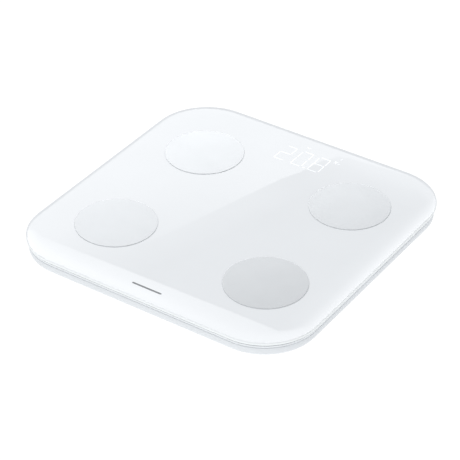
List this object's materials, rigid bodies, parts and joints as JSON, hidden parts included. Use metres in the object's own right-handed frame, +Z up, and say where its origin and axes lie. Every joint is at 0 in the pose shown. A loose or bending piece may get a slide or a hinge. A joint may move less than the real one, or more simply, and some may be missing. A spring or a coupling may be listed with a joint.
{
  "type": "bathroom scale",
  "caption": "Square low glass bathroom scale with foot electrodes, a lit display, load-cell feet and a hinged battery cover.",
  "frame": {"origin": "on the floor, under the middle of the square platform", "axes": "+Z up; the user stands at -Y and faces +Y, with the display near the +Y edge; +X to the user's right"},
  "size_m": [0.3, 0.3, 0.024],
  "materials": {
    "white_glass": "clear tempered glass over a blue-white back print, polished",
    "foam_tape": "closed-cell foam, matt",
    "electrode_steel": "fine satin, bead blasted",
    "zinc_steel": "zinc plated",
    "white_plastic": "fine moulded texture",
    "cell_steel": "stamped, ground flat",
    "grey_rubber": "soft, matt",
    "circuit_board": "solder resist",
    "guide_plastic": "bright white reflector",
    "diffuser_film": "milky film",
    "black_plastic": "moulded",
    "button_plastic": "moulded",
    "battery_jacket": "printed sleeve, plain",
    "nickel_contact": "nickel plated",
    "lead_red": "insulation",
    "lead_white": "insulation",
    "lead_black": "insulation"
  },
  "bodies": {
    "housing": {"glass_platform": "white_glass", "glass_tape": "foam_tape", "electrode_front_left": "electrode_steel", "electrode_front_right": "electrode_steel", "electrode_rear_left": "electrode_steel", "electrode_rear_right": "electrode_steel", "electrode_nut_front_left": "zinc_steel", "electrode_nut_front_right": "zinc_steel", "electrode_nut_rear_left": "zinc_steel", "electrode_nut_rear_right": "zinc_steel", "top_tray": "white_plastic", "base_shell": "white_plastic", "load_cell_front_left": "cell_steel", "load_cell_front_right": "cell_steel", "load_cell_rear_left": "cell_steel", "load_cell_rear_right": "cell_steel", "cell_bracket_front_left": "white_plastic", "cell_bracket_front_right": "white_plastic", "cell_bracket_rear_left": "white_plastic", "cell_bracket_rear_right": "white_plastic", "body_screw_1": "zinc_steel", "body_screw_2": "zinc_steel", "body_screw_3": "zinc_steel", "body_screw_4": "zinc_steel", "body_screw_5": "zinc_steel", "body_screw_6": "zinc_steel", "main_board": "circuit_board", "display_light_guide": "guide_plastic", "display_diffuser": "diffuser_film", "push_switch": "black_plastic", "battery_1": "battery_jacket", "battery_2": "battery_jacket", "battery_3": "battery_jacket", "battery_4": "battery_jacket", "contact_bridge_front": "nickel_contact", "contact_bridge_rear": "nickel_contact", "contact_bridge_middle": "nickel_contact", "contact_negative": "nickel_contact", "contact_positive": "nickel_contact", "cell_lead_front_left": "lead_red", "cell_lead_front_right": "lead_red", "cell_lead_rear_left": "lead_red", "cell_lead_rear_right": "lead_red", "electrode_lead_front_left": "lead_white", "electrode_lead_front_right": "lead_white", "electrode_lead_rear_left": "lead_white", "electrode_lead_rear_right": "lead_white", "battery_lead_negative": "lead_black", "battery_lead_positive": "lead_red"},
    "foot_front_left": {"foot_carrier_front_left": "white_plastic", "foot_pad_front_left": "grey_rubber"},
    "foot_front_right": {"foot_carrier_front_right": "white_plastic", "foot_pad_front_right": "grey_rubber"},
    "foot_rear_left": {"foot_carrier_rear_left": "white_plastic", "foot_pad_rear_left": "grey_rubber"},
    "foot_rear_right": {"foot_carrier_rear_right": "white_plastic", "foot_pad_rear_right": "grey_rubber"},
    "battery_cover": {"battery_cover": "white_plastic"},
    "mode_button": {"mode_button": "button_plastic"}
  },
  "joints": [
    {"name": "foot_press_front_left", "type": "slide", "parent": "housing", "child": "foot_front_left", "axis": [0, 0, 1], "range_m": [0, 0.0005], "stiffness_N_per_m": 400, "springref_m": -0.0096},
    {"name": "foot_press_front_right", "type": "slide", "parent": "housing", "child": "foot_front_right", "axis": [0, 0, 1], "range_m": [0, 0.0005], "stiffness_N_per_m": 400, "springref_m": -0.0096},
    {"name": "foot_press_rear_left", "type": "slide", "parent": "housing", "child": "foot_rear_left", "axis": [0, 0, 1], "range_m": [0, 0.0005], "stiffness_N_per_m": 400, "springref_m": -0.0096},
    {"name": "foot_press_rear_right", "type": "slide", "parent": "housing", "child": "foot_rear_right", "axis": [0, 0, 1], "range_m": [0, 0.0005], "stiffness_N_per_m": 400, "springref_m": -0.0096},
    {"name": "battery_cover_hinge", "type": "hinge", "parent": "housing", "child": "battery_cover", "pos_m": [0, -0.0297, 0.004], "axis": [-1, 0, 0], "range_deg": [0, 75]},
    {"name": "mode_button_press", "type": "slide", "parent": "housing", "child": "mode_button", "axis": [0, 0, 1], "range_m": [0, 0.0005], "stiffness_N_per_m": 400, "springref_m": -0.0005}
  ]
}
